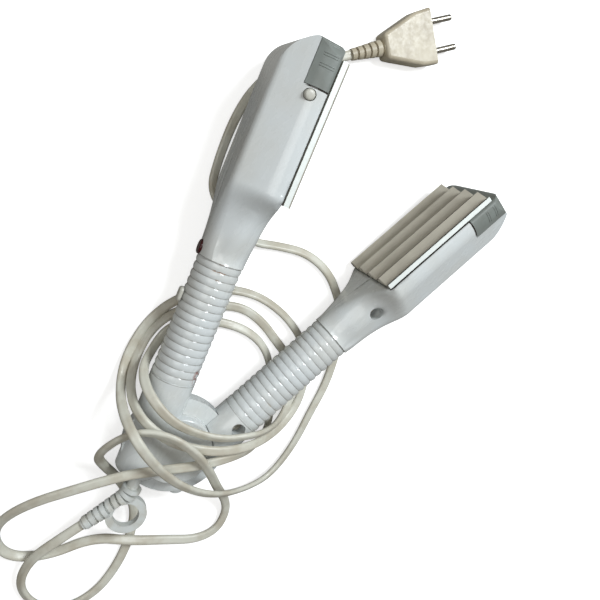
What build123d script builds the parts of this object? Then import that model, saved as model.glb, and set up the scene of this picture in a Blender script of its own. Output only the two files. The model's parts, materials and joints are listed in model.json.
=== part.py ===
"""Two-armed hair crimper lying on its side with its arms sprung open, and its mains lead.

Each arm is the same pair of mouldings, turned half a turn about its own length. An arm is drawn in
its own frame: X runs out along the arm from the hinge axis, Y points from the arm's back to its
plate, and Z is the hinge axis. The arms are then set at their opening angle in the tool's frame,
and the whole tool is laid down so that both heads and the tail rest on the floor.
"""
from build123d import *
import math
import os

os.makedirs("parts", exist_ok=True)

# ---- driving dimensions, mm and degrees --------------------------------------------------------
opening = 28.3              # angle between the sprung-open arms

plate_length = 83.0
plate_width = 58.4
ridge_count = 4
ridge_height = 2.15         # crest above the plate's middle level
plate_edge = 3.1            # middle level down to the plate's flat back
closed_gap = 0.4            # left between the two plates when the arms are shut
plate_start = 162.2         # hinge axis to the plate's near end

grip_radius = 14.0
grip_offset = 16.5          # closing plane to the middle of the grip
barrel_radius = 14.0        # plain stretch between the rings and the hinge
barrel_end_round = 6.0
ring_start = 41.0
ring_pitch = 4.8
ring_count = 16
ring_relief = 0.75          # depth of the groove between two rings
tail_length = 25.0          # hinge axis to the closed end of an arm

wall = 2.2
neck_run_out = 3.0          # the neck's curves settle over this length of the head
side_share = 0.98           # of a cross-section's side, what its two roundings may take
trim_lead = 6.0             # the tip's outlines start this far before the plate
trim_spare = 4.0            # how far trimming blocks stand past what they trim
head_half_width = 30.0
flank_spare = 0.2           # the flank's sharp corner would stand this far past its rounding
head_back_half_width = 17.0
head_depth = 33.0           # closing plane to the back of the head
lip_level = 3.8             # closing plane to the rim that frames the plate
lip_draft = 0.2             # the rim is narrower than the flank by this on each side
flank_level = 11.0          # where the upright flank turns into the sloping side
head_end = 254.0            # hinge axis to the tip
tip_corner = 12.0           # rounding of the tip seen from the plate side
tip_front_round = 4.5       # rounding of the tip's edge towards the closing plane
tip_spare = 1.0             # half width of the tip's plan past the head's own
tip_crown = 2.5             # how far the middle of the tip stands past its corners
tip_nose = 9.0              # closing plane to where the tip's end begins to sweep back
tip_sweep = 25.0            # length over which the back of the head sweeps up to the tip
tip_sweep_bulge = (7.0, 0.8)   # the sweep's middle: short of the tip, share of the head's depth
tip_cheek_start = 226.6     # near end of the grey tip's cheeks
tip_level = 18.0            # closing plane to the underside of the grey tip

rim_radius = 32.0           # wide disc of the hinge
rim_thickness = 4.5
drum_radius = 22.0          # narrow disc on top of it
drum_height = 13.0          # middle plane to the outer face of the drum
drum_edge_round = 1.4
drum_cavity_radius = 19.0
turning_gap = 0.45          # between a casing and the other arm's hinge discs
hinge_face_gap = 0.2        # half the gap between the two hinge faces
pin_radius = 2.5
pin_clearance = 0.05
pin_boss_radius = 5.0
pin_half_length = 10.6

spring_radius = 6.2
spring_height = 8.0
spring_wire = 1.4
spring_turns = 4.5

screw_places = (35.5, 148.0)  # along the arm, on the middle line of the grip
screw_recess_radius = 4.4
screw_head_radius = 3.0
screw_head_height = 2.2
screw_radius = 1.45
screw_length = 13.0
screw_seat = 4.5            # height of the screw head's seat above the parting plane
screw_hole_spare = 0.5      # of the blind hole past the screw's end
screw_clearance = 0.25
boss_radius = 5.6
boss_gap = 0.4              # between the facing ends of two bosses

fit_gap = 0.35              # between parts that slide on each other
seat_gap = 0.3              # round the plate and its grey carrier in the casing
rail_thickness = 2.0
rail_depth = 2.6
rail_margin = 1.5           # from the plate's near end to the rails that carry it
carrier_gap = 0.2
ledge_thickness = 1.8
pocket_half_width = 24.4
ledge_gap = 0.8             # from the pocket to the ledges beside it
ledge_margin = 3.0          # ledges: from the plate's near end, and to the button's hole
tip_end_wall = 7.0

heater_length = 70.0
heater_half_width = 19.0
heater_thickness = 4.5
heater_start = 169.0
bed_thickness = 2.0
bed_overhang = 1.0
bed_end_gap = 0.5           # at least this, from the heater's bed to the end of the carrier's pocket
post_radius = 2.5
post_spacing = (0.5, 1.1)   # shares of the heater's length and half width
cutout_size = (15.0, 9.0, 4.5)

button_place = 221.8        # along the arm
button_level = 13.4         # below the closing plane
button_radius = 3.1
button_flange_radius = 4.3
button_flange_thickness = 1.4
button_flange_depth = 22.3  # from the middle plane to the flange's outer face
button_proud = 1.4          # how far the domed end stands out of the flank
button_travel = 1.5
button_clearance = 0.3
button_spring_radius = 2.4
button_spring_wire = 0.6
button_spring_length = 3.8
button_spring_turns = 4
button_dome = 1.6           # length of the rounded end
button_bore_depth = 3.0     # of the hole, inwards past the flange's outer face
spring_seat_half = 3.2

slider_place = 91.5
slider_length = 9.0
slider_width = 6.4
slider_height = 2.6         # above the grip
slider_travel = 4.0
slider_plate = 1.6
slider_gap = 0.3            # under the slider and above the switch
slider_corner = 2.4
slider_edge_round = 1.4
switch_depth = 1.1          # below the inside of the grip
switch_size = (19.0, 8.0, 9.0)
lens_place = 121.8
lens_length = 9.0
lens_width = 8.6
lens_proud = 1.6
lens_clearance = 0.15
lens_edge_round = 1.0
lamp_radius = 2.2
lamp_length = 11.0

lead_radius = 0.8
lead_spacing = 2.0
lead_level = 7.55           # from the grip's middle line towards the plate side
lead_depth = 5.6            # from the parting plane, clear of the hinge rim
lead_start = 14.0           # along the arm

relief_bend = 38.0          # the lead leaves bent towards the arm's back by this angle
relief_level = 8.5          # above the tool's middle plane
relief_straight = 5.0
relief_length = 42.0
relief_bend_radius = 16.0
relief_core_radius = 3.6
relief_bead_start = 6.0     # radius of the first and the last bead
relief_bead_end = 4.3
relief_bead_count = 9
relief_bead_width = 2.6
relief_bead_margin = 1.4    # from the tail to the middle of the first bead
relief_bead_span = 0.725    # share of the sleeve's length from the first bead to the last
relief_anchor_radius = 4.4
relief_anchor_length = 6.0
eye_outer_radius = 12.5
eye_hole_radius = 7.8
eye_thickness = 4.6
eye_land = 1.6              # flat ring round the hole, clear of the beads
eye_along = 23.5            # from the tail's end face, along the arm
eye_across = 2.5            # from the grip's middle line, towards the plate side

cord_radius = 2.5           # a round of the flat twin lead's own section
corner_share = 0.45         # of the shorter run beside a corner, given to its rounding
cord_first_run = 18.0
cord_last_run = 14.0
plug_turn = -39.0           # direction of the plug on the floor
plug_length = 36.0
plug_width = 35.3
plug_height = 13.7
plug_nose_length = 11.0
plug_nose_draft = 1.0       # the plug widens by this on each side over the nose
plug_neck_width = 15.0
plug_shoulder = (5.0, 2.0)  # length of the shoulder behind the body, its widening on each side
plug_edge_round = 2.5
plug_relief_length = 22.0
plug_relief_start = 3.6     # radius at the lead
plug_relief_end = 5.4
plug_relief_rings = 5
plug_ring_share = 0.65      # of the pitch, taken by the ring itself
plug_ring_swell = 0.3       # of a ring towards the body
plug_ring_groove = 1.0
plug_relief_overlap = 3.0   # of the rings' core into the body
pin_spacing = 18.6
plug_pin_radius = 2.0
plug_pin_length = 19.0
pin_tip_round = 0.8
plug_pin_seat = 9.0         # depth of the pins in the plug

# ---- the arm's own frame -----------------------------------------------------------------------
pitch = plate_width / ridge_count
middle_level = -closed_gap / 2
plate_back = middle_level - plate_edge
plate_end = plate_start + plate_length
full_width_start = plate_start + 1.8
ring_end = ring_start + ring_pitch * ring_count
grip_line = -grip_offset
side_slope = (head_half_width - head_back_half_width) / (head_depth - flank_level)


def flank_at(level, inset=0.0):
    """Half width of the head at a depth below the closing plane, less an inset from its skin."""
    lean = max(level - flank_level, 0) * side_slope
    return head_half_width - lean - inset * math.hypot(1, side_slope if lean else 0)


grip_widths = (8.2, 16.3, 8.2)              # half widths at the front, the waist and the back
head_widths = (head_half_width - lip_draft, head_half_width + flank_spare, head_back_half_width)
grip_levels = (2.35, grip_offset, grip_offset + grip_radius + 0.15)
head_levels = (lip_level, flank_level, head_depth)
# along the arm, how far each half width and each level has come from the grip's to the head's,
# and the rounding of the front, waist and back corners
neck_stations = (
    (ring_end, (0, 0, 0), (0, 0, 0), (12.6, 12.6, 12.6)),
    (134.0, (0.06, 0.05, 0.09), (-0.17, 0.2, 0.35), (9.0, 10.0, 10.0)),
    (146.0, (0.24, 0.17, 0.34), (0.1, 0.53, 0.63), (5.0, 10.0, 8.0)),
    (155.0, (0.58, 0.5, 0.7), (0.52, 0.82, 0.87), (3.0, 12.0, 6.0)),
    (full_width_start, (1, 1, 1), (1, 1, 1), (2.6, 14.0, 5.0)),
    (full_width_start + neck_run_out, (1, 1, 1), (1, 1, 1), (2.6, 14.0, 5.0)),
)


def part_way(start, end, shares):
    """Values a share of the way from those at the start to those at the end."""
    return [first + share * (last - first) for first, last, share in zip(start, end, shares)]


def fitting_radii(corners, radii):
    """Roundings of a closed outline's corners, smaller where a side is too short for its two."""
    points = [Vector(*corner) for corner in corners]
    sides = [after - point for point, after in zip(points, points[1:] + points[:1])]
    turns = [before.get_angle(side) for before, side in zip(sides[-1:] + sides, sides)]
    setbacks = [radius * math.tan(math.radians(turn) / 2) for radius, turn in zip(radii, turns)]
    taken = [here + there for here, there in zip(setbacks, setbacks[1:] + setbacks[:1])]
    shares = [min(1, side_share * side.length / length) for side, length in zip(sides, taken)]
    return [radius * min(pair) for radius, pair in zip(radii, zip(shares[-1:] + shares, shares))]


def cross_section(station, inset=0.0):
    """One cross-section of the arm, six-sided with rounded corners."""
    along, width_shares, level_shares, corner_radii = station
    widths = part_way(grip_widths, head_widths, width_shares)
    levels = part_way(grip_levels, head_levels, level_shares)
    corners = [(-level, width) for level, width in zip(levels, widths)]
    corners += [(y, -z) for y, z in reversed(corners)]
    radii = fitting_radii(corners, corner_radii + corner_radii[::-1])
    with BuildSketch(Plane.YZ.offset(along)) as section:
        with BuildLine():
            FilletPolyline(*corners, radius=radii, close=True)
        make_face()
        if inset:
            offset(amount=-inset, kind=Kind.ARC)
    return section.sketch


def tip_plan(inset=0.0):
    """Outline of the head seen from the plate side, its corners rounded at the tip."""
    near = plate_start - trim_lead
    end = head_end - inset
    half = head_half_width + tip_spare - inset
    with BuildSketch(Plane.XZ) as plan:
        with BuildLine():
            Line((near, -half), (end - tip_crown, -half))
            ThreePointArc((end - tip_crown, -half), (end, 0), (end - tip_crown, half))
            Line((end - tip_crown, half), (near, half))
            Line((near, half), (near, -half))
        make_face()
        fillet(plan.vertices().filter_by(lambda v: v.X > plate_start), radius=tip_corner - inset)
    return plan.sketch


def tip_side(inset=0.0):
    """Outline of the head seen along the hinge axis, its back swept up to the tip."""
    near = plate_start - trim_lead
    end = head_end - inset
    radius = tip_front_round - inset
    turned = end - radius
    front = -lip_level - inset
    back = -head_depth + inset
    turn = head_end - tip_sweep
    bulge = (end - tip_sweep_bulge[0], tip_sweep_bulge[1] * back)
    with BuildSketch(Plane.XY) as side:
        with BuildLine():
            Line((near, trim_spare), (turned, trim_spare))
            Line((turned, trim_spare), (turned, front))
            RadiusArc((turned, front), (end, front - radius), radius)
            Line((end, front - radius), (end, -tip_nose))
            Spline((end, -tip_nose), bulge, (turn, back), tangents=((0, -1), (-1, 0)))
            Line((turn, back), (near, back))
            Line((near, back), (near, trim_spare))
        make_face()
    return side.sketch


def head_form(inset=0.0):
    """Neck and head as one solid, its skin moved in by an inset."""
    with BuildPart() as form:
        extrude(cross_section(neck_stations[-1], inset), amount=head_end - plate_start)
        extrude(tip_plan(inset), amount=head_depth + trim_spare, both=True, mode=Mode.INTERSECT)
        extrude(tip_side(inset), amount=head_half_width + trim_spare, both=True,
                mode=Mode.INTERSECT)
        loft([cross_section(station, inset) for station in neck_stations])
    return form


def round_bar(radius, start, end):
    """A bar along the middle line of the grip."""
    with BuildPart() as bar:
        with BuildSketch(Plane.YZ.offset(start)):
            with Locations((grip_line, 0)):
                Circle(radius)
        extrude(amount=end - start)
    return bar


def ringed_grip():
    """The grip's run of bulging rings, turned about its middle line."""
    root = grip_radius - ring_relief
    axis = Axis((0, grip_line, 0), (1, 0, 0))
    with BuildPart() as grip:
        with BuildSketch(Plane.XY):
            with BuildLine():
                Line((ring_start, grip_line), (ring_start, grip_line + root))
                for index in range(ring_count):
                    near = ring_start + index * ring_pitch
                    ThreePointArc((near, grip_line + root),
                                  (near + ring_pitch / 2, grip_line + grip_radius),
                                  (near + ring_pitch, grip_line + root))
                Line((ring_end, grip_line + root), (ring_end, grip_line))
                Line((ring_end, grip_line), (ring_start, grip_line))
            make_face()
        revolve(axis=axis)
    return grip


def box_between(low, high):
    """A block given by its lowest and highest corners."""
    with BuildPart() as block:
        with BuildSketch(Plane.XY.offset(low[2])):
            with Locations(((low[0] + high[0]) / 2, (low[1] + high[1]) / 2)):
                Rectangle(high[0] - low[0], high[1] - low[1])
        extrude(amount=high[2] - low[2])
    return block


def disc(radius, low, high, centre=(0, 0)):
    """A round block about an axis parallel to the hinge."""
    with BuildPart() as block:
        with BuildSketch(Plane.XY.offset(low)):
            with Locations(centre):
                Circle(radius)
        extrude(amount=high - low)
    return block


# ---- the two halves of an arm's casing ---------------------------------------------------------
bore_radius = grip_radius - ring_relief - wall + 0.4
far = 400.0
outer_form = head_form().part
inner_form = head_form(wall).part

with BuildPart() as tube:
    add(round_bar(barrel_radius, -tail_length, ring_start + 0.3).part)
    fillet(tube.edges().filter_by(GeomType.CIRCLE).sort_by(Axis.X)[0], radius=barrel_end_round)
    add(ringed_grip().part)
    add(outer_form)

with BuildPart() as hollow:
    add(round_bar(bore_radius, -tail_length + wall, ring_end + 2).part)
    add(inner_form)
    add(box_between((plate_start - seat_gap, -lip_level - wall - 1, wall - head_half_width),
                    (far, far, head_half_width - wall)).part)

with BuildPart() as bosses:
    for place in screw_places:
        add(disc(boss_radius, -far, far, (place, grip_line)).part)
    add(tube.part, mode=Mode.INTERSECT)
    add(box_between((-far, -far, -boss_gap / 2), (far, far, boss_gap / 2)).part, mode=Mode.SUBTRACT)

ledge_top = plate_back - rail_depth - fit_gap
with BuildPart() as ledges:
    for side in (-1, 1):
        inner = side * (pocket_half_width + ledge_gap)
        outer = side * (head_half_width - wall / 2)
        add(box_between((plate_start + ledge_margin, ledge_top - ledge_thickness, min(inner, outer)),
                        (button_place - button_radius - ledge_margin, ledge_top,
                         max(inner, outer))).part)

heater_top = plate_back - fit_gap
bed_back = heater_top - heater_thickness - bed_thickness
with BuildPart() as posts:
    with BuildSketch(Plane.XZ.offset(-bed_back)):
        with Locations(((heater_start + heater_length / 2), 0)):
            with GridLocations(post_spacing[0] * heater_length,
                               post_spacing[1] * heater_half_width, 2, 2):
                Circle(post_radius)
    extrude(amount=head_depth + bed_back - wall / 2)

spring_wall = button_flange_depth - button_flange_thickness - button_spring_length
spring_seat_thickness = 0.6 * wall
with BuildPart() as spring_seat:
    add(box_between((button_place - spring_seat_half, -head_depth + wall / 2, -spring_wall),
                    (button_place + spring_seat_half, bed_back - boss_gap,
                     spring_seat_thickness - spring_wall)).part)

with BuildPart() as tip_seat:
    add(box_between((tip_cheek_start - seat_gap, -tip_level - seat_gap, -far), (far, far, far)).part)

with BuildPart() as casing:
    add(tube.part)
    add(hollow.part, mode=Mode.SUBTRACT)
    add(bosses.part)
    add(ledges.part)
    add(posts.part)
    add(tip_seat.part, mode=Mode.SUBTRACT)

# ---- the half that carries the hinge drum and the release button -------------------------------
drum_roof = drum_height - wall
with BuildPart() as tail_floor:
    add(box_between((wall / 2 - tail_length, -far, -wall), (0, 0, -hinge_face_gap)).part)
    add(tube.part, mode=Mode.INTERSECT)

with BuildPart() as bore_past_drum:
    add(round_bar(bore_radius, wall - tail_length, rim_radius - 2).part)
    add(box_between((-far, -far, -rim_thickness), (far, far, far)).part, mode=Mode.SUBTRACT)

with BuildPart() as drum:
    add(disc(drum_radius, -drum_height, -rim_thickness).part)
    fillet(drum.edges().group_by(Axis.Z)[0], radius=drum_edge_round)

with BuildPart() as button_half:
    add(casing.part)
    add(spring_seat.part)
    add(box_between((-far, -far, 0), (far, far, far)).part, mode=Mode.SUBTRACT)
    add(box_between((-far, -far, -hinge_face_gap), (rim_radius + 1, far, far)).part,
        mode=Mode.SUBTRACT)
    add(disc(rim_radius, -rim_thickness, -hinge_face_gap).part)
    add(tail_floor.part)
    add(drum.part)
    add(disc(drum_cavity_radius, -drum_roof, far).part, mode=Mode.SUBTRACT)
    add(bore_past_drum.part, mode=Mode.SUBTRACT)
    add(disc(pin_boss_radius, -drum_roof, -1).part)
    add(disc(pin_radius + pin_clearance, -pin_half_length - pin_clearance, far).part,
        mode=Mode.SUBTRACT)
    for place in screw_places:
        add(disc(screw_radius + pin_clearance, screw_seat - screw_length - screw_hole_spare, far,
                 (place, grip_line)).part, mode=Mode.SUBTRACT)
    add(disc(button_radius + button_clearance, -far, -button_flange_depth + button_bore_depth,
             (button_place, -button_level)).part, mode=Mode.SUBTRACT)

# ---- the half that the screws go in from -------------------------------------------------------
with BuildPart() as screw_half:
    add(casing.part)
    add(box_between((-far, -far, -far), (far, far, 0)).part, mode=Mode.SUBTRACT)
    add(box_between((-far, -far, -far), (rim_radius / 2, far, far)).part, mode=Mode.SUBTRACT)
    add(disc(rim_radius + turning_gap, -far, rim_thickness + turning_gap).part, mode=Mode.SUBTRACT)
    add(disc(drum_radius + turning_gap, -far, far).part, mode=Mode.SUBTRACT)
    for place in screw_places:
        add(disc(screw_recess_radius, screw_seat, far, (place, grip_line)).part,
            mode=Mode.SUBTRACT)
        add(disc(screw_radius + screw_clearance, -far, far, (place, grip_line)).part,
            mode=Mode.SUBTRACT)

# ---- openings that only the fixed arm's casing has ---------------------------------------------
grip_back = grip_line - grip_radius
slot_half_width = slider_plate / 2 + fit_gap
with BuildPart() as fixed_arm_openings:
    add(box_between((slider_place - slider_plate - fit_gap, -far, -slot_half_width),
                    (slider_place + slider_travel + slider_plate + fit_gap, grip_back + wall + 1,
                     slot_half_width)).part)
    with BuildSketch(Plane.XZ.offset(-grip_line - bore_radius / 2)):
        with Locations((lens_place, 0)):
            Ellipse(lens_length / 2 + lens_clearance, lens_width / 2 + lens_clearance)
    extrude(amount=far)
    with BuildSketch(Plane.YZ.offset(-far)):
        with Locations((grip_line, -relief_level)):
            Circle(relief_core_radius + fit_gap)
    extrude(amount=far - tail_length + wall + 1)

with BuildPart() as fixed_button_half:
    add(button_half.part)
    add(fixed_arm_openings.part, mode=Mode.SUBTRACT)

with BuildPart() as fixed_screw_half:
    add(screw_half.part)
    add(fixed_arm_openings.part, mode=Mode.SUBTRACT)

# ---- what each arm holds -----------------------------------------------------------------------
with BuildPart() as crimp_plate:
    with BuildSketch(Plane.YZ.offset(plate_start)):
        with BuildLine():
            edge = -plate_width / 2
            wave = [(plate_back, edge), (middle_level, edge)]
            for ridge in range(ridge_count):
                wave.append((middle_level + ridge_height, edge + (ridge + 0.25) * pitch))
                wave.append((middle_level - ridge_height, edge + (ridge + 0.75) * pitch))
            wave += [(middle_level, -edge), (plate_back, -edge)]
            Polyline(*wave, close=True)
        make_face()
    extrude(amount=plate_length)

pocket_floor = -tip_level + rail_thickness
bed_end = heater_start + heater_length + bed_overhang
pocket_end = max(plate_end - carrier_gap, bed_end + bed_end_gap)
with BuildPart() as plate_carrier:
    add(outer_form)
    add(box_between((tip_cheek_start, -tip_level, -far), (far, far, far)).part,
        mode=Mode.INTERSECT)
    add(box_between((-far, pocket_floor, -pocket_half_width),
                    (pocket_end, far, pocket_half_width)).part, mode=Mode.SUBTRACT)
    for side in (-1, 1):
        inner = side * (pocket_half_width + carrier_gap)
        outer = side * (head_half_width - wall - fit_gap)
        add(box_between((plate_start + rail_margin, plate_back - rail_depth, min(inner, outer)),
                        (tip_cheek_start + rail_thickness / 2, plate_back, max(inner, outer))).part)

with BuildPart() as heater:
    add(box_between((heater_start, heater_top - heater_thickness, -heater_half_width),
                    (heater_start + heater_length, heater_top, heater_half_width)).part)

with BuildPart() as heater_bed:
    add(box_between((heater_start - bed_overhang, bed_back, -heater_half_width),
                    (bed_end, bed_back + bed_thickness,
                     heater_half_width)).part)

cutout_start = heater_start + heater_length / 2 - cutout_size[0] / 2
with BuildPart() as thermal_cutout:
    add(box_between((cutout_start, bed_back - cutout_size[2], -cutout_size[1] / 2),
                    (cutout_start + cutout_size[0], bed_back, cutout_size[1] / 2)).part)

dome_end = -flank_at(button_level) - button_proud
with BuildPart() as release_button:
    with BuildSketch(Plane((button_place, -button_level, 0), x_dir=(1, 0, 0), z_dir=(0, -1, 0))):
        with BuildLine():
            Line((0, dome_end), (0, -button_flange_depth + button_flange_thickness))
            Line((0, -button_flange_depth + button_flange_thickness),
                 (button_flange_radius, -button_flange_depth + button_flange_thickness))
            Line((button_flange_radius, -button_flange_depth + button_flange_thickness),
                 (button_flange_radius, -button_flange_depth))
            Line((button_flange_radius, -button_flange_depth), (button_radius, -button_flange_depth))
            Line((button_radius, -button_flange_depth), (button_radius, dome_end + button_dome))
            Spline((button_radius, dome_end + button_dome), (0, dome_end), tangents=((0, -1), (-1, 0)))
        make_face()
    revolve(axis=Axis((button_place, -button_level, 0), (0, 0, 1)))


def round_rod(radius, start, end, across, tip_round=0.0):
    """A rod along X, its far end rounded."""
    with BuildPart() as rod:
        with BuildSketch(Plane.YZ.offset(start)):
            with Locations((across, 0)):
                Circle(radius)
        extrude(amount=end - start)
        if tip_round:
            fillet(rod.edges().sort_by(Axis.X)[-1], radius=tip_round)
    return rod


def coil(radius, wire, length, turns, centre, low):
    """A helical spring about an axis parallel to the hinge."""
    path = Helix(pitch=(length - wire) / turns, height=length - wire, radius=radius,
                 center=(centre[0], centre[1], low + wire / 2))
    with BuildPart() as spring:
        with BuildSketch(Plane(path @ 0, z_dir=path % 0)):
            Circle(wire / 2)
        sweep(path=path, is_frenet=True)
    return spring


with BuildPart() as button_spring:
    add(coil(button_spring_radius, button_spring_wire, button_spring_length - 2 * pin_clearance,
             button_spring_turns,
             (button_place, -button_level), -spring_wall - button_spring_length + pin_clearance
             ).part)

with BuildPart() as arm_screws:
    for place in screw_places:
        add(disc(screw_head_radius, screw_seat, screw_seat + screw_head_height,
                 (place, grip_line)).part)
        add(disc(screw_radius, screw_seat - screw_length, screw_seat, (place, grip_line)).part)

with BuildPart() as arm_leads:
    for side in (-1, 1):
        with BuildSketch(Plane.YZ.offset(lead_start)):
            with Locations((grip_line + lead_level + side * lead_spacing / 2, -lead_depth)):
                Circle(lead_radius)
        extrude(amount=heater_start - 1 - lead_start)

# ---- what only the fixed arm holds -------------------------------------------------------------
slider_bottom = grip_back - slider_gap
switch_top = grip_line - bore_radius + switch_depth
with BuildPart() as switch_slider:
    with BuildSketch(Plane.XZ.offset(-slider_bottom)):
        with Locations((slider_place, 0)):
            RectangleRounded(slider_length, slider_width, slider_corner)
    extrude(amount=slider_height - slider_gap)
    fillet(switch_slider.faces().sort_by(Axis.Y)[0].edges(), radius=slider_edge_round)
    add(box_between((slider_place - slider_plate, slider_bottom - 0.5, -slider_plate / 2),
                    (slider_place + slider_plate, switch_top - slider_gap, slider_plate / 2)).part)

with BuildPart() as power_switch:
    add(box_between((slider_place + slider_travel / 2 - switch_size[0] / 2, switch_top,
                     -switch_size[1] / 2),
                    (slider_place + slider_travel / 2 + switch_size[0] / 2,
                     switch_top + switch_size[2], switch_size[1] / 2)).part)

lens_inner = grip_back + wall + 1.0
with BuildPart() as lamp_lens:
    with BuildSketch(Plane.XZ.offset(-lens_inner)):
        with Locations((lens_place, 0)):
            Ellipse(lens_length / 2, lens_width / 2)
    extrude(amount=lens_inner - grip_back + lens_proud)
    fillet(lamp_lens.faces().sort_by(Axis.Y)[0].edges(), radius=lens_edge_round)

with BuildPart() as neon_lamp:
    with BuildSketch(Plane.YZ.offset(lens_place - lamp_length / 2)):
        with Locations((lens_inner + lamp_radius + slider_gap, 0)):
            Circle(lamp_radius)
    extrude(amount=lamp_length)

relief_start = -tail_length
anchor_start = relief_start + wall + fit_gap
with BuildPart() as relief_anchor:
    with BuildSketch(Plane.YZ.offset(anchor_start)):
        with Locations((grip_line, -relief_level)):
            Circle(relief_anchor_radius)
    extrude(amount=relief_anchor_length)
    add(round_bar(bore_radius - fit_gap, anchor_start, 0).part, mode=Mode.INTERSECT)
    add(box_between((-far, -far, -rim_thickness - fit_gap), (far, far, far)).part,
        mode=Mode.SUBTRACT)

with BuildPart() as strain_relief:
    with BuildLine(Plane.XY.offset(-relief_level)) as relief_path:
        straight = Line((relief_start + wall + 1, grip_line),
                        (relief_start - relief_straight, grip_line))
        bend = JernArc(straight @ 1, straight % 1, relief_bend_radius, relief_bend)
        Line(bend @ 1, (bend @ 1) + (bend % 1) * (relief_length - relief_straight
                                                  - relief_bend_radius * math.radians(relief_bend)))
    route = relief_path.wires()[0]
    with BuildSketch(Plane(route @ 0, z_dir=route % 0)):
        Circle(relief_core_radius)
    sweep(path=route)
    for bead in range(relief_bead_count):
        share = bead / (relief_bead_count - 1)
        radius = relief_bead_start + share * (relief_bead_end - relief_bead_start)
        first = (relief_straight + wall + 1 + relief_bead_margin) / route.length
        at = first + share * relief_bead_span
        with BuildSketch(Plane(route @ at, z_dir=route % at)):
            Circle(radius)
        extrude(amount=relief_bead_width / 2, both=True)
    add(relief_anchor.part)
    eye = (relief_start - eye_along, grip_line + eye_across)
    add(disc(eye_hole_radius + eye_land, -far, far, eye).part, mode=Mode.SUBTRACT)
    add(disc(eye_outer_radius, -relief_level - eye_thickness / 2, -relief_level + eye_thickness / 2,
             eye).part)
    add(disc(eye_hole_radius, -far, far, eye).part, mode=Mode.SUBTRACT)

# ---- the hinge, in the tool's frame ------------------------------------------------------------
with BuildPart() as hinge_pin:
    add(disc(pin_radius, -pin_half_length, pin_half_length).part)

with BuildPart() as opening_spring:
    add(coil(spring_radius, spring_wire, spring_height, spring_turns, (0, 0),
             -spring_height / 2).part)

# ---- the arms set at their opening angle, in the tool's frame ----------------------------------
half_opening = math.radians(opening / 2)
lean = (math.cos(half_opening), math.sin(half_opening))
fixed_arm = Plane((0, 0, 0), x_dir=(lean[0], lean[1], 0), z_dir=(0, 0, -1)).location
moving_arm = Plane((0, 0, 0), x_dir=(lean[0], -lean[1], 0), z_dir=(0, 0, 1)).location

pieces = {
    "fixed_arm_upper_casing": fixed_arm * fixed_button_half.part,
    "fixed_arm_lower_casing": fixed_arm * fixed_screw_half.part,
    "moving_arm_lower_casing": moving_arm * button_half.part,
    "moving_arm_upper_casing": moving_arm * screw_half.part,
    "switch_slider": fixed_arm * switch_slider.part,
    "power_switch": fixed_arm * power_switch.part,
    "lamp_lens": fixed_arm * lamp_lens.part,
    "neon_lamp": fixed_arm * neon_lamp.part,
    "strain_relief": fixed_arm * strain_relief.part,
    "hinge_pin": hinge_pin.part,
    "opening_spring": opening_spring.part,
}
for arm_name, arm in (("fixed_arm", fixed_arm), ("moving_arm", moving_arm)):
    for piece_name, built in (("crimp_plate", crimp_plate), ("plate_carrier", plate_carrier),
                              ("heater", heater), ("heater_bed", heater_bed),
                              ("thermal_cutout", thermal_cutout),
                              ("release_button", release_button),
                              ("button_spring", button_spring),
                              ("screws", arm_screws), ("leads", arm_leads)):
        pieces[f"{arm_name}_{piece_name}"] = arm * built.part

# ---- the tool laid on its side: both heads and the tail touch the floor ------------------------
head_contact = full_width_start * lean[0] - flank_level * lean[1]
tail_contact = (tail_length - barrel_end_round) * lean[0] + grip_offset * lean[1]
head_side = outer_form.bounding_box().max.Z
tilt = math.degrees(math.atan2(head_side - barrel_radius, head_contact + tail_contact))
leaning = Location((0, 0, 0), (0, -tilt, 0))
leaned = Compound(children=[leaning * piece for piece in pieces.values()]).bounding_box()
lie_down = Location((-leaned.center().X, -leaned.center().Y, -leaned.min.Z)) * leaning


def spot(arm, along, across, level):
    """A point given in an arm's frame, in the frame that the part is delivered in."""
    return (lie_down * arm * Location((along, across, level))).position


# ---- the mains lead, in the delivered frame ----------------------------------------------------
relief_end = route @ 1
relief_way = route % 1
cord_exit = spot(fixed_arm, *relief_end)
cord_way = (spot(fixed_arm, *(relief_end + relief_way)) - cord_exit).normalized()
plug_tail = Vector(176, 45, plug_height / 2)
plug_way = Vector(math.cos(math.radians(plug_turn)), math.sin(math.radians(plug_turn)), 0)

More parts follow.
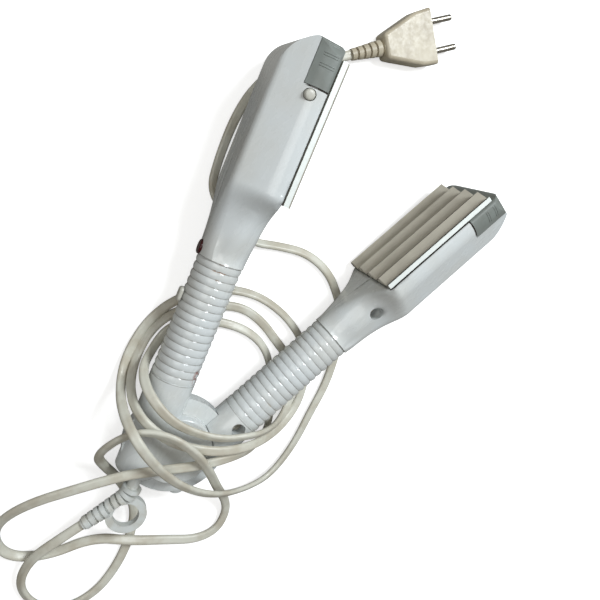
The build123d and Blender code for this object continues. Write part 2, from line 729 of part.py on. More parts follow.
# wound round the hinge and the grips as it lies on the floor: over itself, under both grips
cord_points = [
    (-192, 33, 11), (-212, 28, 5), (-222, 11, 2.5), (-217, -8, 2.5), (-201, -19, 2.5),
    (-180, -21, 2.5), (-158, -17, 2.5), (-138.5, -8, 2.5), (-127, 13, 4), (-121, 29, 11),
    (-112, 40, 26), (-94, 38.5, 38), (-83, 30.5, 42), (-77, 15.5, 46), (-78.5, -2, 47),
    (-87, -20.5, 39), (-99.5, -40.5, 21), (-108, -57, 8), (-117, -66, 3), (-131, -68, 2.5),
    (-143, -59, 2.5), (-150.5, -39, 4.5), (-158, -16.5, 9), (-166, 5.5, 7), (-190, 22, 2.5),
    (-199, 45, 4), (-183, 63, 12), (-157, 60, 25), (-125.5, 35, 34), (-110.5, 20.5, 36),
    (-99, 3, 36), (-86, -14.5, 38), (-74, -29.5, 36), (-68.5, -47.5, 18), (-52.5, -57.5, 2.5),
    (-28, -42, 2.5), (-10, -25, 2.5), (-5, -7.5, 2.5), (-8.5, 12, 2.5), (-18, 30.5, 2.5),
    (-30, 41.5, 2.5), (-46, 42.5, 4), (-57, 45, 19), (-64, 39, 37), (-70.5, 21, 41), (-70.5, 4, 41),
    (-66, -14.5, 41), (-56.5, -28.5, 41), (-52, -41, 31), (-45, -55.5, 13), (-29.5, -59.5, 2.5),
    (-8, -48, 2.5), (-2, -28.5, 2.5), (5, -9, 2.5), (5.5, 10, 2.5), (-6.5, 29.5, 2.5),
    (-19.5, 44, 2.5), (-37, 50, 2.5), (-56.5, 48, 4), (-71, 44, 16), (-78, 36.5, 36),
    (-82.5, 15.5, 38.5), (-79.5, -3, 40), (-72, -21.5, 40), (-61, -40.5, 32), (-47.5, -61.5, 9),
    (-24, -65.5, 2.5), (2, -52, 2.5), (12, -35.5, 2.5), (17.5, -17, 2.5), (17.5, 6, 2.5),
    (8, 28, 2.5), (-11, 47, 2.5), (-32.5, 54.5, 2.5), (-56.5, 53.5, 2.5), (-73, 48, 8),
    (-80, 45, 30), (-86, 35.5, 50), (-96, 14, 48), (-103, -11.5, 39), (-101.5, -37.5, 31),
    (-94, -62.5, 14), (-81, -78.5, 4), (-55.5, -81.5, 2.5), (-29.5, -78, 2.5), (-5, -75.5, 2.5),
    (22, -66, 2.5), (38, -57, 2.5), (48.5, -44, 2.5), (57.5, -28.5, 2.5), (59, -8, 2.5),
    (51.5, 11.5, 2.5), (43, 28.5, 2.5), (48, 46, 2.5), (53, 68, 2.5), (74, 75.5, 2.5),
    (100, 81.5, 2.5), (122, 82, 2.5), (149, 74, 2.5),
]

cord_route = [cord_exit, cord_exit + cord_way * cord_first_run]
cord_route += [Vector(*point) for point in cord_points]
cord_route += [plug_tail - plug_way * cord_last_run, plug_tail]

cord_radii = []
for before, corner, after in zip(cord_route, cord_route[1:], cord_route[2:]):
    turn = math.radians((corner - before).get_angle(after - corner))
    shorter = min((corner - before).length, (after - corner).length)
    cord_radii.append(corner_share * shorter / math.tan(turn / 2))

with BuildPart() as mains_cord:
    with BuildLine() as cord_line:
        FilletPolyline(*cord_route, radius=cord_radii)
    cord_path = cord_line.wires()[0]
    with BuildSketch(Plane(cord_path @ 0, z_dir=cord_path % 0)):
        Circle(cord_radius)
    sweep(path=cord_path)

# ---- the plug, drawn along X from its tail -----------------------------------------------------
with BuildPart() as plug_body:
    with BuildSketch(Plane.XY):
        with BuildLine():
            body_start = plug_relief_length
            face = plug_relief_length + plug_length
            side = [(body_start, plug_neck_width / 2),
                    (body_start + plug_shoulder[0], plug_neck_width / 2 + plug_shoulder[1]),
                    (face - plug_nose_length, plug_width / 2 - plug_nose_draft),
                    (face, plug_width / 2)]
            Polyline(*side, *[(x, -y) for x, y in reversed(side)], close=True)
        make_face()
    extrude(amount=plug_height / 2, both=True)
    face_edges = plug_body.edges().group_by(Axis.X)[-1]
    fillet([edge for edge in plug_body.edges() if edge not in face_edges], radius=plug_edge_round)
    with BuildSketch(Plane.XY):
        with BuildLine():
            pitch_along = plug_relief_length / plug_relief_rings
            outline = [(0, 0), (0, plug_relief_start)]
            for ring in range(plug_relief_rings):
                growth = (plug_relief_end - plug_relief_start) * ring / plug_relief_rings
                reach = plug_relief_start + growth
                far_side = (ring + plug_ring_share) * pitch_along
                outline += [(far_side, reach + plug_ring_swell),
                            (far_side, reach - plug_ring_groove),
                            ((ring + 1) * pitch_along, reach - plug_ring_groove),
                            ((ring + 1) * pitch_along, reach + plug_ring_swell)]
            core_end = body_start + plug_relief_overlap
            outline += [(core_end, outline[-1][1]), (core_end, 0)]
            Polyline(*outline, close=True)
        make_face()
    revolve(axis=Axis.X)
    for side_way in (-1, 1):
        add(round_rod(plug_pin_radius, face - plug_pin_seat, face + 1,
                      side_way * pin_spacing / 2).part, mode=Mode.SUBTRACT)

with BuildPart() as plug_pins:
    for side_way in (-1, 1):
        add(round_rod(plug_pin_radius, face - plug_pin_seat, face + plug_pin_length,
                      side_way * pin_spacing / 2, pin_tip_round).part)

plug_place = Plane(plug_tail, x_dir=plug_way, z_dir=(0, 0, 1)).location
delivered = {name: lie_down * piece for name, piece in pieces.items()}
delivered["mains_cord"] = mains_cord.part
delivered["plug_body"] = plug_place * plug_body.part
delivered["plug_pins"] = plug_place * plug_pins.part

for name, piece in delivered.items():
    piece.label = name
    export_step(piece, f"parts/{name}.step")
    print(name, round(piece.volume, 1), piece.is_valid, piece.bounding_box())

print("tilt", tilt, "lie_down", lie_down)
print("hinge", lie_down.position, "axis", Plane(lie_down).z_dir)
print("arm directions", Plane(lie_down * fixed_arm).x_dir, Plane(lie_down * moving_arm).x_dir)
for arm_name, arm in (("fixed_arm", fixed_arm), ("moving_arm", moving_arm)):
    print(arm_name, "button", spot(arm, button_place, -button_level, dome_end),
          "inward", Plane(lie_down * arm).z_dir, "spring foot",
          spot(arm, button_place, -button_level, -spring_wall))
print("eye centre", spot(fixed_arm, *eye, -relief_level), "cord exit", cord_exit, "way", cord_way)
swept = math.pi * cord_radius ** 2 * cord_path.length
print("cord length", cord_path.length, "volume", mains_cord.part.volume, "section x length", swept)
print("cord arc radii", [round(radius, 1) for radius in cord_radii])
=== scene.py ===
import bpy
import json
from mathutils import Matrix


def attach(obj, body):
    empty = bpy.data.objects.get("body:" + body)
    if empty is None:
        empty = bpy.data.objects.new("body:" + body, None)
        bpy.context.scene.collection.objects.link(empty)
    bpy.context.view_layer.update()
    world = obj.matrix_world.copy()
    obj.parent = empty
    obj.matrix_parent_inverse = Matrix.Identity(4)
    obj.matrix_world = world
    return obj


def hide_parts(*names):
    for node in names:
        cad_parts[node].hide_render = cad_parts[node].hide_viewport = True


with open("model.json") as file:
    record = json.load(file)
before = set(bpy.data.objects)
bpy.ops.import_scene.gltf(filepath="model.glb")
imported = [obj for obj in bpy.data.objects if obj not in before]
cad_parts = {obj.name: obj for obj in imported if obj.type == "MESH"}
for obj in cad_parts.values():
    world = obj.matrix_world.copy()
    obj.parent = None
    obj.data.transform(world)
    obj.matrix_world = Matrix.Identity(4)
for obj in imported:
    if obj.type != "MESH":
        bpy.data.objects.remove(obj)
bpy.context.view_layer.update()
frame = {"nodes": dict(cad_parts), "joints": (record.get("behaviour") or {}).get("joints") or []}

import json
import math

import bmesh
import bpy
from mathutils import Matrix, Vector, bvhtree

nodes = frame["nodes"]
joints = {joint["name"]: joint for joint in frame["joints"]}
scene = bpy.context.scene

# ---- where things are -------------------------------------------------------------------------
hinge = Vector(joints["arm_hinge"]["pos_m"])
hinge_way = Vector(joints["arm_hinge"]["axis"]).normalized()
arms = {
    "fixed": Vector(joints["fixed_cartridge_slide"]["axis"]).normalized(),
    "moving": Vector(joints["moving_cartridge_slide"]["axis"]).normalized(),
}
inward = {
    "fixed": arms["fixed"].cross(hinge_way).normalized(),
    "moving": hinge_way.cross(arms["moving"]).normalized(),
}


def spot(arm, along, across, level):
    """Point of an arm, from mm along it, across towards the other arm, and up the hinge axis."""
    return hinge + (arms[arm] * along + inward[arm] * across + hinge_way * level) / 1000


# ---- camera ----------------------------------------------------------------------------------
# fitted to the photograph: the picture's right, the way back to the camera, and the lens
right = Vector((0.5603, -0.7433, 0.3655))
back = Vector((-0.0502, 0.41, 0.9107)).normalized()
right = (right - back * right.dot(back)).normalized()
up = back.cross(right)
camera_place = Vector((0.01795, 0.1503, 0.3799))
camera_data = bpy.data.cameras.new("camera")
camera_data.sensor_width = 36
camera_data.lens = 37.18
camera_data.shift_x = -0.0047
camera_data.shift_y = -0.0208
camera_data.clip_start = 0.01
camera_data.clip_end = 10
camera = bpy.data.objects.new("camera", camera_data)
camera.matrix_world = Matrix.Translation(camera_place) @ Matrix((right, up, back)).transposed().to_4x4()
scene.collection.objects.link(camera)
scene.camera = camera


# ---- node helpers ----------------------------------------------------------------------------
class Material:
    """A node material with its principled shader at hand."""

    def __init__(self, name):
        self.data = bpy.data.materials.new(name)
        self.data.use_nodes = True
        self.tree = self.data.node_tree
        self.surface = self.tree.nodes["Principled BSDF"]
        self.place = self.add("ShaderNodeTexCoord").outputs["Object"]

    def add(self, kind, inputs=(), **settings):
        node = self.tree.nodes.new(kind)
        for key, value in settings.items():
            setattr(node, key, value)
        for key, value in dict(inputs).items():
            self.put(node.inputs[key], value)
        return node

    def put(self, socket, value):
        """Links a socket to another node's output, or gives it a plain value."""
        if isinstance(value, bpy.types.NodeSocket):
            self.tree.links.new(value, socket)
        else:
            socket.default_value = value

    def set(self, **values):
        for key, value in values.items():
            self.put(self.surface.inputs[key.replace("_", " ")], value)

    def maths(self, operation, *values, clamp=False):
        node = self.add("ShaderNodeMath", operation=operation, use_clamp=clamp)
        for socket, value in zip(node.inputs, values):
            self.put(socket, value)
        return node.outputs[0]

    def noise(self, scale, detail=4, roughness=0.55, stretch=None):
        place = self.place
        if stretch:
            place = self.add("ShaderNodeMapping", {"Vector": place, "Scale": stretch}).outputs[0]
        node = self.add("ShaderNodeTexNoise", {"Vector": place, "Scale": scale, "Detail": detail,
                                               "Roughness": roughness})
        return node.outputs["Fac"]

    def ramp(self, value, low, high, bottom=0.0, top=1.0):
        node = self.add("ShaderNodeMapRange", {"Value": value, "From Min": low, "From Max": high,
                                               "To Min": bottom, "To Max": top})
        node.interpolation_type = "SMOOTHSTEP"
        return node.outputs[0]

    def mix(self, factor, first, second):
        """Colour between two, by a factor."""
        node = self.add("ShaderNodeMix", data_type="RGBA", clamp_factor=True)
        self.put(node.inputs[0], factor)
        self.put(node.inputs[6], first)
        self.put(node.inputs[7], second)
        return node.outputs[2]

    def mix_ways(self, factor, first, second):
        """Direction between two, by a factor."""
        node = self.add("ShaderNodeMix", data_type="VECTOR")
        self.put(node.inputs[0], factor)
        self.put(node.inputs[4], first)
        self.put(node.inputs[5], second)
        return node.outputs[1]

    def scaled(self, way, length):
        """A direction times a length."""
        node = self.add("ShaderNodeVectorMath", {0: way}, operation="SCALE")
        self.put(node.inputs["Scale"], length)
        return node.outputs[0]

    def bump(self, height, distance, strength=1.0, normal=None):
        inputs = {"Height": height, "Distance": distance, "Strength": strength}
        if normal:
            inputs["Normal"] = normal
        return self.add("ShaderNodeBump", inputs).outputs[0]

    def near(self, point, radius, soft=0.4):
        """1 within the radius of a point, falling to 0."""
        away = self.add("ShaderNodeVectorMath", {0: self.place, 1: point}, operation="DISTANCE")
        return self.ramp(away.outputs["Value"], radius * (1 - soft), radius, 1.0, 0.0)

    def reach(self, way):
        """How far a point lies from the hinge in a direction, in mm."""
        offset = self.add("ShaderNodeVectorMath", {0: self.place, 1: hinge}, operation="SUBTRACT")
        dot = self.add("ShaderNodeVectorMath", {0: offset.outputs[0], 1: way * 1000},
                       operation="DOT_PRODUCT")
        return dot.outputs["Value"]

    def facing(self, way):
        """How far the skin faces a direction, from -1 to 1."""
        normal = self.add("ShaderNodeTexCoord").outputs["Normal"]
        dot = self.add("ShaderNodeVectorMath", {0: normal, 1: way}, operation="DOT_PRODUCT")
        return dot.outputs["Value"]

    def band(self, value, low, high, soft):
        """1 between two values, falling to 0 over a soft edge."""
        return self.maths("MULTIPLY", self.ramp(value, low - soft, low),
                          self.ramp(value, high, high + soft, 1.0, 0.0))


def shade(red, green, blue):
    """Linear colour from 0 to 255 display values."""
    def linear(value):
        value /= 255
        return value / 12.92 if value <= 0.04045 else ((value + 0.055) / 1.055) ** 2.4
    return (linear(red), linear(green), linear(blue), 1.0)


def dress(material, *names):
    """Gives CAD nodes a material."""
    for name in names:
        mesh = nodes[name].data
        mesh.materials.clear()
        mesh.materials.append(material.data)


# ---- materials -------------------------------------------------------------------------------
# places along an arm from the hinge axis, and depths from the closing plane, in mm
ring_start, ring_pitch, ring_end = 41.0, 4.8, 117.8
grip_offset = 16.5              # closing plane to the middle of the grip
shoulder = (152, 174)           # the neck's edges are softened between these
shoulder_round = 0.0045         # radius of that softening, in metres
plate_line = (161.8, 162.2)     # the plate's shadow on the rim starts here
rim_depth = (-4.7, -4.3)        # and lies above this depth
tip_joint = (225.7, 227)        # painted shade in the gap between the casing and the grey tip
tip_joint_depth = (-18.4, -15)
seam_half = 0.06                # hairline between the two halves
seam_soft = 0.08


def groove_distance(white, along):
    """Share of a ring's width between a point and the ring's middle: 0.5 in a groove."""
    ring = white.maths("DIVIDE", white.maths("SUBTRACT", along, ring_start), ring_pitch)
    return white.maths("ABSOLUTE", white.maths("SUBTRACT", white.maths("FRACT", ring), 0.5))


def casing_colour(white, arm, along, depth, seam):
    """White, greyer in the grooves from grime and painted shade, painted shade round plate and tip, specks
    and stains.
    """
    cloud = white.noise(28, 3)
    colour = white.mix(white.ramp(cloud, 0.35, 0.7), shade(216, 221, 222), shade(211, 213, 210))
    saw = groove_distance(white, along)
    # the grooves are darkened: partly grime, partly painted shade
    groove = white.maths("MULTIPLY", white.ramp(saw, 0.4, 0.5),
                         white.band(along, ring_start - 0.3, ring_end + 0.3, 0.4))
    groove_grime_and_shade = white.maths("MULTIPLY", groove, white.ramp(white.noise(120), 0.3, 0.7, 0.35, 0.85))
    colour = white.mix(groove_grime_and_shade, colour, shade(120, 116, 108))
    # painted shadow of the plate on the rim, and painted shade in the gap at the grey tip, in one dark
    # colour
    shadow_line = white.maths("MULTIPLY", white.ramp(depth, *rim_depth), white.ramp(along, *plate_line))
    tip_gap_shade = white.maths("MULTIPLY", white.band(along, *tip_joint, 0.3),
                             white.ramp(depth, *tip_joint_depth))
    colour = white.mix(white.maths("MAXIMUM", shadow_line, tip_gap_shade), colour, shade(44, 39, 33))
    colour = white.mix(white.maths("MULTIPLY", seam, 0.6), colour, shade(120, 118, 112))
    specks = white.ramp(white.noise(700, 2), 0.7, 0.8, 0, 0.2)
    colour = white.mix(specks, colour, shade(130, 124, 112))
    for point, radius, stain, in_groove in stains[arm]:
        mask = white.maths("MULTIPLY", white.near(point, radius, 0.7),
                           white.ramp(white.noise(450), 0.42, 0.6))
        if in_groove:
            mask = white.maths("MULTIPLY", mask, white.ramp(saw, 0.36, 0.46))
        colour = white.mix(mask, colour, stain)
    return colour


def casing_normal(white, arm, along, depth, height, seam):
    """Skin softened at the shoulder and partly evened out over the rings, with slight waviness."""
    own = white.add("ShaderNodeNewGeometry").outputs["Normal"]
    rounded = white.add("ShaderNodeBevel", {"Radius": shoulder_round}, samples=6).outputs[0]
    skin = white.mix_ways(white.band(along, *shoulder, 5), own, rounded)
    across = white.scaled(inward[arm], white.maths("ADD", depth, grip_offset))
    upward = white.scaled(hinge_way, height)
    outward = white.add("ShaderNodeVectorMath", {0: across, 1: upward}, operation="ADD")
    turned = white.add("ShaderNodeVectorTransform", {0: outward.outputs[0]}, vector_type="NORMAL",
                       convert_from="OBJECT", convert_to="WORLD")
    smooth = white.add("ShaderNodeVectorMath", {0: turned.outputs[0]}, operation="NORMALIZE")
    on_rings = white.band(along, ring_start + 0.6, ring_end - 0.6, 0.5)
    skin = white.mix_ways(white.maths("MULTIPLY", on_rings, 0.55), skin, smooth.outputs[0])
    bump = white.bump(white.noise(45, 2), 0.00035, 0.12, skin)
    return white.bump(white.maths("MULTIPLY", seam, -1), 0.0001, 0.4, bump)


def casing_plastic(arm):
    """Glossy white moulding, with grime and painted shade in the ring grooves, painted shade round plate
    and tip, a hairline seam, and a few marks.
    """
    white = Material(arm + "_casing_plastic")
    along = white.reach(arms[arm])
    depth = white.reach(inward[arm])
    height = white.reach(hinge_way)
    seam = white.band(height, -seam_half, seam_half, seam_soft)
    rub = white.noise(160, 5, stretch=(0.6, 1.4, 1.0))
    white.set(Base_Color=casing_colour(white, arm, along, depth, seam),
              Roughness=white.ramp(rub, 0.3, 0.75, 0.2, 0.34),
              Normal=casing_normal(white, arm, along, depth, height, seam),
              Coat_Weight=0.5, Coat_Roughness=0.06)
    return white


# mark: where it is, its radius in metres, its colour, and whether it lies only in the grooves
stains = {
    "fixed": [
        (spot("fixed", 113.0, -17.3, 14.0), 0.0075, shade(146, 104, 72), True),
        (spot("fixed", 47.5, -4.4, 7.4), 0.0075, shade(150, 96, 84), False),
        (spot("fixed", 106, -29.6, -3), 0.007, shade(158, 112, 100), True),
        (spot("fixed", 28, 0, -4.5), 0.002, shade(150, 120, 84), False),
        (spot("fixed", 125.8, -17.3, 15.5), 0.0018, shade(150, 156, 160), False),
    ],
    "moving": [
        (spot("moving", 60, -18, 13.8), 0.004, shade(178, 170, 156), True),
    ],
}
for arm in arms:
    dress(casing_plastic(arm), arm + "_arm_upper_casing", arm + "_arm_lower_casing")


def plain(name, first, second, low, high, *names, metallic=0.0, cloud=150, cloud_detail=4,
          spread=(0.35, 0.7), gloss=500, grain=1400, grain_depth=0.00002, grain_strength=0.5):
    """Clouded colour between two shades, roughness that wanders from low to high, and a fine grain."""
    made = Material(name)
    clouds = made.ramp(made.noise(cloud, cloud_detail), *spread)
    made.set(Base_Color=made.mix(clouds, shade(*first), shade(*second)), Metallic=metallic,
             Roughness=made.ramp(made.noise(gloss), 0.3, 0.7, low, high),
             Normal=made.bump(made.noise(grain, 2), grain_depth, grain_strength))
    dress(made, *names)
    return made


plate_width, ridge_count = 58.4, 4
coated = Material("stove_coated_plate")
cloud = coated.noise(45, 4)
colour = coated.mix(coated.ramp(cloud, 0.35, 0.7), shade(206, 201, 187), shade(193, 188, 174))
ridge = coated.maths("DIVIDE", coated.reach(hinge_way), plate_width / ridge_count)
wave = coated.maths("ADD", ridge, 0.5 * ridge_count)
# painted shade, partly dirt, darkens the valleys between the ridges
valley_dirt_and_shade = coated.band(coated.maths("FRACT", wave), 0.72, 0.78, 0.03)
colour = coated.mix(coated.maths("MULTIPLY", valley_dirt_and_shade, 0.95), colour, shade(48, 44, 36))
# the plate's side edges are lightened to near white: a painted reflection
side = coated.ramp(coated.maths("ABSOLUTE", coated.facing(hinge_way)), 0.9, 0.97)
colour = coated.mix(side, colour, shade(240, 245, 242))
coated.set(Base_Color=colour, Metallic=0.15,
           Roughness=coated.ramp(coated.noise(400), 0.3, 0.7, 0.38, 0.52),
           Normal=coated.bump(coated.noise(2200, 2), 0.00002, 0.5))
dress(coated, "fixed_arm_crimp_plate", "moving_arm_crimp_plate")

cream = Material("button_cream_plastic")
cream.set(Base_Color=cream.mix(cream.noise(200), shade(197, 196, 187), shade(187, 185, 175)),
          Roughness=cream.ramp(cream.noise(500), 0.3, 0.7, 0.28, 0.4),
          Normal=cream.bump(cream.noise(1800, 2), 0.00002, 0.5))
dress(cream, "fixed_arm_release_button", "moving_arm_release_button", "switch_slider")

lens = Material("lamp_lens_red")
lens.set(Base_Color=lens.mix(lens.noise(300), shade(70, 8, 10), shade(48, 5, 8)),
         Roughness=lens.ramp(lens.noise(800), 0.3, 0.7, 0.08, 0.16))
dress(lens, "lamp_lens")

steel = Material("plain_steel")
steel.set(Base_Color=steel.mix(steel.noise(150), shade(190, 186, 176), shade(160, 154, 140)),
          Metallic=1.0, Roughness=steel.ramp(steel.noise(600, 4, stretch=(1, 1, 6)), 0.3, 0.7, 0.25, 0.42))
dress(steel, "plug_pins", "hinge_pin", "opening_spring", "fixed_arm_screws", "moving_arm_screws",
      "fixed_arm_button_spring", "moving_arm_button_spring")

grey = plain("carrier_grey_plastic", (128, 134, 130), (118, 122, 117), 0.32, 0.45,
             "fixed_arm_plate_carrier", "moving_arm_plate_carrier",
             cloud=60, gloss=300, grain=1500, grain_strength=0.6)
plain("relief_soft_plastic", (214, 218, 216), (196, 195, 186), 0.35, 0.5, "strain_relief",
      cloud=90, gloss=400, grain=1500, grain_depth=0.00003, grain_strength=0.6)
plain("plug_beige_plastic", (196, 187, 166), (176, 166, 146), 0.3, 0.45, "plug_body",
      cloud=70, gloss=400, grain=1500, grain_depth=0.00003, grain_strength=0.6)
cord_material = plain("cord_soft_plastic", (212, 211, 199), (190, 184, 168), 0.3, 0.46,
                      cloud=60, cloud_detail=5, spread=(0.35, 0.68), grain=1600,
                      grain_depth=0.00003, grain_strength=0.6)
plain("heater_aluminium", (176, 176, 176), (150, 150, 150), 0.35, 0.5,
      "fixed_arm_heater", "moving_arm_heater", metallic=0.9)
plain("heater_bed_board", (205, 192, 165), (188, 174, 146), 0.7, 0.9,
      "fixed_arm_heater_bed", "moving_arm_heater_bed")
plain("cutout_phenolic", (72, 60, 50), (58, 48, 40), 0.5, 0.7,
      "fixed_arm_thermal_cutout", "moving_arm_thermal_cutout")
plain("lead_sleeve", (200, 198, 190), (182, 178, 168), 0.45, 0.6,
      "fixed_arm_leads", "moving_arm_leads")
plain("switch_black_plastic", (44, 44, 44), (34, 34, 34), 0.4, 0.6, "power_switch")

glass = Material("neon_lamp_glass")
glass.set(Base_Color=glass.mix(glass.noise(400), shade(242, 205, 190), shade(235, 190, 170)),
          Roughness=glass.ramp(glass.noise(700), 0.3, 0.7, 0.03, 0.08), Transmission_Weight=0.8)
dress(glass, "neon_lamp")

# ---- finger ridges on the grey tips ------------------------------------------------------------
ridge_places = (237.7, 239.1, 243.6, 244.9, 249.4, 250.6)
ridge_radius = 0.00035          # metres
ridge_sink = 0.25               # share of that radius by which a ridge is sunk in
ridge_top, ridge_step, ridge_points = -6.4, -0.5, 18
outside = 45                    # from here a ray looks for the tip's side


def finger_ridge(ribs, skin, arm, side, along):
    """One ridge: a thin curve laid down the side of the grey tip."""
    on_skin = []
    for step in range(ridge_points):
        start = spot(arm, along, ridge_top + ridge_step * step, side * outside)
        point, normal, _, _ = skin.ray_cast(start, hinge_way * -side)
        on_skin.append(point - normal * ridge_radius * ridge_sink)
    rib = ribs.splines.new("POLY")
    rib.points.add(len(on_skin) - 1)
    for point, place in zip(rib.points, on_skin):
        point.co = (*place, 1)
        point.radius = 0.5 if place in (on_skin[0], on_skin[-1]) else 1


for arm in arms:
    carrier = nodes[arm + "_arm_plate_carrier"]
    skin = bvhtree.BVHTree.FromPolygons(
        [carrier.matrix_world @ vertex.co for vertex in carrier.data.vertices],
        [tuple(face.vertices) for face in carrier.data.polygons])
    ribs = bpy.data.curves.new(arm + "_finger_ridges", "CURVE")
    ribs.dimensions = "3D"
    ribs.bevel_depth = ridge_radius
    ribs.bevel_resolution = 3
    ribs.use_fill_caps = True
    for side in (-1, 1):
        for along in ridge_places:
            finger_ridge(ribs, skin, arm, side, along)
    made = bpy.data.objects.new(arm + "_finger_ridges", ribs)
    ribs.materials.append(grey.data)
    scene.collection.objects.link(made)
    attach(made, arm + "_plate_cartridge")

# ---- the mains lead --------------------------------------------------------------------------
cord_width = 0.006
cord_thickness = 0.0038
section_points = 32
core_swell, waist_depth, waist_sharpness = 1.08, 0.22, 6
mean_roll, roll_swing, roll_rate = 15, 27, 0.55    # degrees, degrees, and radians per point
exit_lead, plug_lead = 0.018, 0.014                # straight stretches at the two ends
cord_exit = Vector((-0.155712, 0.020216, 0.018351))
cord_way = Vector((-0.910864, 0.404344, -0.082665))
plug_tail = Vector((0.176, 0.045, 0.00685))
plug_turn = math.radians(-39)
plug_way = Vector((math.cos(plug_turn), math.sin(plug_turn), 0))
cord_points = [
    (-192, 33, 11), (-212, 28, 5), (-222, 11, 2.5), (-217, -8, 2.5), (-201, -19, 2.5),
    (-180, -21, 2.5), (-158, -17, 2.5), (-138.5, -8, 2.5), (-127, 13, 4), (-121, 29, 11),
    (-112, 40, 26), (-94, 38.5, 38), (-83, 30.5, 42), (-77, 15.5, 46), (-78.5, -2, 47),
    (-87, -20.5, 39), (-99.5, -40.5, 21), (-108, -57, 8), (-117, -66, 3), (-131, -68, 2.5),
    (-143, -59, 2.5), (-150.5, -39, 4.5), (-158, -16.5, 9), (-166, 5.5, 7), (-190, 22, 2.5),
    (-199, 45, 4), (-183, 63, 12), (-157, 60, 25), (-125.5, 35, 34), (-110.5, 20.5, 36),
    (-99, 3, 36), (-86, -14.5, 38), (-74, -29.5, 36), (-68.5, -47.5, 18), (-52.5, -57.5, 2.5),
    (-28, -42, 2.5), (-10, -25, 2.5), (-5, -7.5, 2.5), (-8.5, 12, 2.5), (-18, 30.5, 2.5),
    (-30, 41.5, 2.5), (-46, 42.5, 4), (-57, 45, 19), (-64, 39, 37), (-70.5, 21, 41), (-70.5, 4, 41),
    (-66, -14.5, 41), (-56.5, -28.5, 41), (-52, -41, 31), (-45, -55.5, 13), (-29.5, -59.5, 2.5),
    (-8, -48, 2.5), (-2, -28.5, 2.5), (5, -9, 2.5), (5.5, 10, 2.5), (-6.5, 29.5, 2.5),
    (-19.5, 44, 2.5), (-37, 50, 2.5), (-56.5, 48, 4), (-71, 44, 16), (-78, 36.5, 36),
    (-82.5, 15.5, 38.5), (-79.5, -3, 40), (-72, -21.5, 40), (-61, -40.5, 32), (-47.5, -61.5, 9),
    (-24, -65.5, 2.5), (2, -52, 2.5), (12, -35.5, 2.5), (17.5, -17, 2.5), (17.5, 6, 2.5),
    (8, 28, 2.5), (-11, 47, 2.5), (-32.5, 54.5, 2.5), (-56.5, 53.5, 2.5), (-73, 48, 8),
    (-80, 45, 30), (-86, 35.5, 50), (-96, 14, 48), (-103, -11.5, 39), (-101.5, -37.5, 31),
    (-94, -62.5, 14), (-81, -78.5, 4), (-55.5, -81.5, 2.5), (-29.5, -78, 2.5), (-5, -75.5, 2.5),
    (22, -66, 2.5), (38, -57, 2.5), (48.5, -44, 2.5), (57.5, -28.5, 2.5), (59, -8, 2.5),
    (51.5, 11.5, 2.5), (43, 28.5, 2.5), (48, 46, 2.5), (53, 68, 2.5), (74, 75.5, 2.5),
    (100, 81.5, 2.5), (122, 82, 2.5), (149, 74, 2.5),
]
route = [cord_exit, cord_exit + cord_way * exit_lead]
route += [Vector(point) / 1000 for point in cord_points]
route += [plug_tail - plug_way * plug_lead, plug_tail]


def flat_twin_outline():
    """Section of the flat twin lead: two round cores side by side with a shallow waist between them."""
    outline = bpy.data.curves.new("cord_section", "CURVE")
    outline.dimensions = "2D"
    spline = outline.splines.new("POLY")
    spline.points.add(section_points - 1)
    for index, point in enumerate(spline.points):
        turn = 2 * math.pi * index / section_points
        waist = core_swell - waist_depth * math.sin(turn) ** waist_sharpness
        point.co = (math.cos(turn) * cord_width / 2, math.sin(turn) * cord_thickness / 2 * waist, 0, 1)
    spline.use_cyclic_u = True
    return bpy.data.objects.new("cord_section", outline)


cord_curve = bpy.data.curves.new("mains_cord_twin", "CURVE")
cord_curve.dimensions = "3D"
cord_curve.twist_mode = "Z_UP"
cord_curve.resolution_u = 12
spline = cord_curve.splines.new("NURBS")
spline.points.add(len(route) - 1)
for index, (point, place) in enumerate(zip(spline.points, route)):
    point.co = (*place, 1)
    point.tilt = math.radians(mean_roll + roll_swing * math.sin(index * roll_rate))
spline.order_u = 3
spline.use_endpoint_u = True
section = flat_twin_outline()
scene.collection.objects.link(section)
section.hide_render = True
section.hide_viewport = True
cord_curve.bevel_mode = "OBJECT"
cord_curve.bevel_object = section
cord_curve.use_fill_caps = True
cord = bpy.data.objects.new("mains_cord_twin", cord_curve)
cord_curve.materials.append(cord_material.data)
scene.collection.objects.link(cord)
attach(cord, "fixed_arm")
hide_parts("mains_cord")

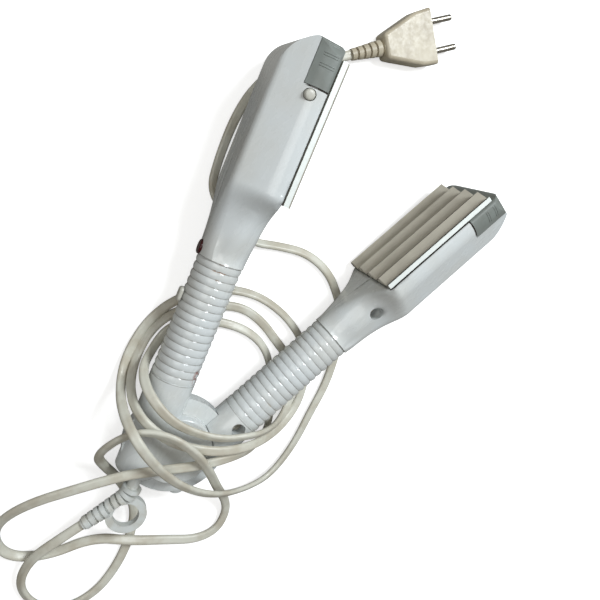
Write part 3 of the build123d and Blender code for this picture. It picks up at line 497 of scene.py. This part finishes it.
# ---- floor, sky, light -----------------------------------------------------------------------
def pale_floor():
    """Floor that is nearly white to the camera, and darker where it lights the part from below."""
    material = bpy.data.materials.new("pale_floor")
    material.use_nodes = True
    tree = material.node_tree
    tree.nodes.clear()
    dim = tree.nodes.new("ShaderNodeBsdfDiffuse")
    dim.inputs["Color"].default_value = (0.3, 0.29, 0.27, 1)
    pale = tree.nodes.new("ShaderNodeBsdfDiffuse")
    pale.inputs["Color"].default_value = (0.9, 0.9, 0.9, 1)
    glow = tree.nodes.new("ShaderNodeEmission")
    glow.inputs["Color"].default_value = (1, 1, 1, 1)
    glow.inputs["Strength"].default_value = 0.6
    lit = tree.nodes.new("ShaderNodeAddShader")
    path = tree.nodes.new("ShaderNodeLightPath")
    seen = tree.nodes.new("ShaderNodeMath")
    seen.operation = "MAXIMUM"
    chosen = tree.nodes.new("ShaderNodeMixShader")
    output = tree.nodes.new("ShaderNodeOutputMaterial")
    for source, target in (
            (path.outputs["Is Camera Ray"], seen.inputs[0]),
            (path.outputs["Is Transmission Ray"], seen.inputs[1]),
            (pale.outputs[0], lit.inputs[0]),
            (glow.outputs[0], lit.inputs[1]),
            (seen.outputs[0], chosen.inputs[0]),
            (dim.outputs[0], chosen.inputs[1]),
            (lit.outputs[0], chosen.inputs[2]),
            (chosen.outputs[0], output.inputs["Surface"])):
        tree.links.new(source, target)
    return material


def sky(strength):
    """World that gives a weak warm fill, and is white to the camera."""
    world = bpy.data.worlds.new("world")
    world.use_nodes = True
    tree = world.node_tree
    fill = tree.nodes["Background"]
    fill.inputs["Color"].default_value = (1.0, 0.98, 0.95, 1)
    fill.inputs["Strength"].default_value = strength
    white = tree.nodes.new("ShaderNodeBackground")
    white.inputs["Color"].default_value = (1, 1, 1, 1)
    path = tree.nodes.new("ShaderNodeLightPath")
    chosen = tree.nodes.new("ShaderNodeMixShader")
    tree.links.new(path.outputs["Is Camera Ray"], chosen.inputs[0])
    tree.links.new(fill.outputs[0], chosen.inputs[1])
    tree.links.new(white.outputs[0], chosen.inputs[2])
    tree.links.new(chosen.outputs[0], tree.nodes["World Output"].inputs["Surface"])
    return world


floor_mesh = bpy.data.meshes.new("floor")
floor_build = bmesh.new()
bmesh.ops.create_grid(floor_build, x_segments=1, y_segments=1, size=3)
floor_build.to_mesh(floor_mesh)
floor_build.free()
floor_mesh.materials.append(pale_floor())
floor = bpy.data.objects.new("floor", floor_mesh)
scene.collection.objects.link(floor)
scene.world = sky(0.2)


def lamp(name, place, target, size, power, colour):
    """Round soft lamp that faces a point."""
    data = bpy.data.lights.new(name, "AREA")
    data.shape = "DISK"
    data.size = size
    data.energy = power
    data.color = colour
    made = bpy.data.objects.new(name, data)
    made.location = place
    made.rotation_mode = "QUATERNION"
    made.rotation_quaternion = (target - place).to_track_quat("-Z", "Y")
    scene.collection.objects.link(made)


aim = Vector((0, 0, 0.02))
lamp_distance = 1.2
key_way = (right * 0.62 + up * 0.25 + back * 0.55).normalized()
fill_way = (back - right * 0.05).normalized()
lamp("window", aim + key_way * lamp_distance, aim, 0.45, 12.0, (0.92, 0.97, 1.0))
lamp("room", aim + fill_way * lamp_distance, aim, 0.8, 3.3, (0.98, 0.98, 0.96))

scene.view_settings.view_transform = "Standard"
